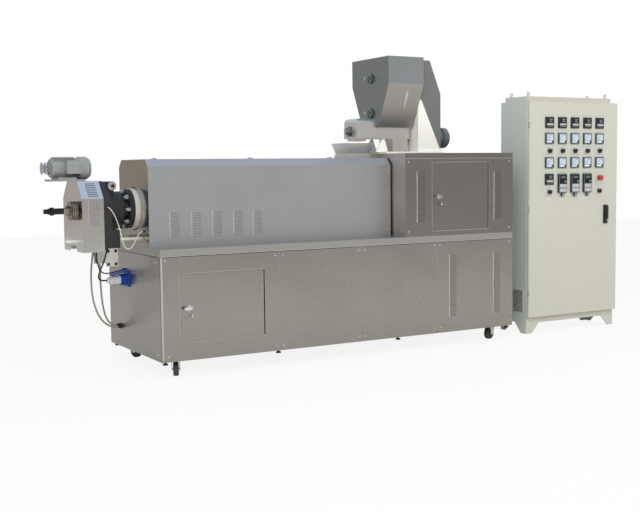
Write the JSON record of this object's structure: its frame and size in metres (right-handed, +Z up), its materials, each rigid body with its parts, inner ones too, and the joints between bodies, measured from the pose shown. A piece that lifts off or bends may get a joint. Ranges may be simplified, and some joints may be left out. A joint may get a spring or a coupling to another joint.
{
  "type": "snack food extruder",
  "caption": "Long stainless screw extruder on a caster base, with barrel cover, die head and cutter, overhead hopper feeder, drive housing and its free-standing control cabinet.",
  "frame": {"origin": "middle of the footprint of machine and cabinet, on the floor", "axes": "+X from the discharge end to the drive end, -Y to the front, +Z up"},
  "size_m": [4.324, 0.946, 1.981],
  "materials": {
    "stainless": "brushed",
    "stainless_dark": "brushed",
    "zinc": "zinc plated",
    "black_steel": "blackened",
    "polished_steel": "polished",
    "grey_paint": "semi gloss",
    "dark_grey_paint": "satin",
    "cream_paint": "satin",
    "beige_paint": "textured",
    "blue_plastic": "moulded",
    "white_plastic": "moulded",
    "black_plastic": "moulded",
    "red_plastic": "moulded",
    "black_rubber": "matte",
    "grey_rubber": "matte",
    "white_sleeve": "matte"
  },
  "bodies": {
    "frame": {"base_floor": "stainless_dark", "base_posts": "stainless_dark", "base_deck": "stainless", "door_panel": "stainless", "base_panels": "stainless", "levelling_feet": "black_steel", "caster_plates": "zinc", "barrel_cover": "stainless", "cover_end_plate": "stainless", "barrel": "polished_steel", "die_head": "black_steel", "head_bolts": "zinc", "cutter_mount": "black_steel", "mount_brackets": "stainless_dark", "guide_rods": "polished_steel", "cutter_guard": "stainless", "cutter_motor": "grey_paint", "motor_slide": "grey_paint", "socket_outlet": "blue_plastic", "power_plug": "white_plastic", "cable_glands": "black_plastic", "white_lead": "white_sleeve", "plug_cable": "black_rubber", "socket_cable": "black_rubber", "grey_hoses": "grey_rubber", "housing_walls": "stainless_dark", "housing_lid": "stainless", "feeder_pedestal": "cream_paint", "feeder_trough": "stainless", "trough_cover": "stainless", "hopper": "stainless", "shaft_bearings": "zinc", "drive_guard": "dark_grey_paint", "feeder_motor": "grey_paint", "intake_funnel": "stainless", "cabinet_shell": "beige_paint", "cabinet_plinth": "beige_paint", "cabinet_lid_plate": "beige_paint"},
    "base_door": {"base_door": "stainless", "base_door_latch": "zinc"},
    "housing_door": {"housing_door": "stainless_dark", "housing_door_latch": "zinc"},
    "cabinet_door": {"cabinet_door": "beige_paint", "cabinet_handle": "black_plastic", "panel_instruments": "black_plastic", "door_knobs": "black_plastic", "emergency_stop": "red_plastic"},
    "cutter_spindle": {"cutter_spindle": "black_steel"},
    "motor_pulley": {"motor_pulley": "zinc"},
    "agitator_upper": {"agitator_upper": "zinc"},
    "agitator_lower": {"agitator_lower": "zinc"},
    "feed_screw": {"feed_screw": "zinc"},
    "caster_fork_1": {"caster_fork_1": "zinc"},
    "caster_wheel_1": {"caster_wheel_1": "black_rubber"},
    "caster_fork_2": {"caster_fork_2": "zinc"},
    "caster_wheel_2": {"caster_wheel_2": "black_rubber"},
    "caster_fork_3": {"caster_fork_3": "zinc"},
    "caster_wheel_3": {"caster_wheel_3": "black_rubber"},
    "caster_fork_4": {"caster_fork_4": "zinc"},
    "caster_wheel_4": {"caster_wheel_4": "black_rubber"}
  },
  "joints": [
    {"name": "cabinet_door_hinge", "type": "hinge", "parent": "frame", "child": "cabinet_door", "pos_m": [1.3005, -0.3695, 0.9], "axis": [0, 0, -1], "range_deg": [0, 105]},
    {"name": "housing_door_hinge", "type": "hinge", "parent": "frame", "child": "housing_door", "pos_m": [0.851, -0.433, 1.03], "axis": [0, 0, 1], "range_deg": [0, 100]},
    {"name": "base_door_hinge", "type": "hinge", "parent": "frame", "child": "base_door", "pos_m": [-0.912, -0.433, 0.412], "axis": [0, 0, 1], "range_deg": [0, 100]},
    {"name": "cutter_spindle_turn", "type": "hinge", "parent": "frame", "child": "cutter_spindle", "pos_m": [-1.983, -0.113, 0.996], "axis": [1, 0, 0], "continuous": true},
    {"name": "motor_shaft_turn", "type": "hinge", "parent": "frame", "child": "motor_pulley", "pos_m": [-2.133, -0.026, 1.247], "axis": [1, 0, 0], "continuous": true},
    {"name": "agitator_upper_turn", "type": "hinge", "parent": "frame", "child": "agitator_upper", "pos_m": [0.297, -0.026, 1.845], "axis": [1, 0, 0], "continuous": true},
    {"name": "agitator_lower_turn", "type": "hinge", "parent": "frame", "child": "agitator_lower", "pos_m": [0.297, -0.026, 1.608], "axis": [1, 0, 0], "continuous": true},
    {"name": "feed_screw_turn", "type": "hinge", "parent": "frame", "child": "feed_screw", "pos_m": [0.217, -0.026, 1.48], "axis": [1, 0, 0], "continuous": true},
    {"name": "caster_swivel_1", "type": "hinge", "parent": "frame", "child": "caster_fork_1", "pos_m": [-1.463, -0.352, 0.1], "axis": [0, 0, 1], "continuous": true},
    {"name": "wheel_turn_1", "type": "hinge", "parent": "caster_fork_1", "child": "caster_wheel_1", "pos_m": [-1.47258, -0.37831, 0.042], "axis": [-0.9397, 0.342, 0], "continuous": true},
    {"name": "caster_swivel_2", "type": "hinge", "parent": "frame", "child": "caster_fork_2", "pos_m": [0.959, -0.352, 0.1], "axis": [0, 0, 1], "continuous": true},
    {"name": "wheel_turn_2", "type": "hinge", "parent": "caster_fork_2", "child": "caster_wheel_2", "pos_m": [0.93269, -0.36158, 0.042], "axis": [-0.342, 0.9397, 0], "continuous": true},
    {"name": "caster_swivel_3", "type": "hinge", "parent": "frame", "child": "caster_fork_3", "pos_m": [-1.463, 0.382, 0.1], "axis": [0, 0, 1], "continuous": true},
    {"name": "wheel_turn_3", "type": "hinge", "parent": "caster_fork_3", "child": "caster_wheel_3", "pos_m": [-1.45342, 0.35569, 0.042], "axis": [-0.9397, -0.342, 0], "continuous": true},
    {"name": "caster_swivel_4", "type": "hinge", "parent": "frame", "child": "caster_fork_4", "pos_m": [0.959, 0.382, 0.1], "axis": [0, 0, 1], "continuous": true},
    {"name": "wheel_turn_4", "type": "hinge", "parent": "caster_fork_4", "child": "caster_wheel_4", "pos_m": [0.93606, 0.39806, 0.042], "axis": [0.5736, 0.8192, 0], "continuous": true}
  ]
}
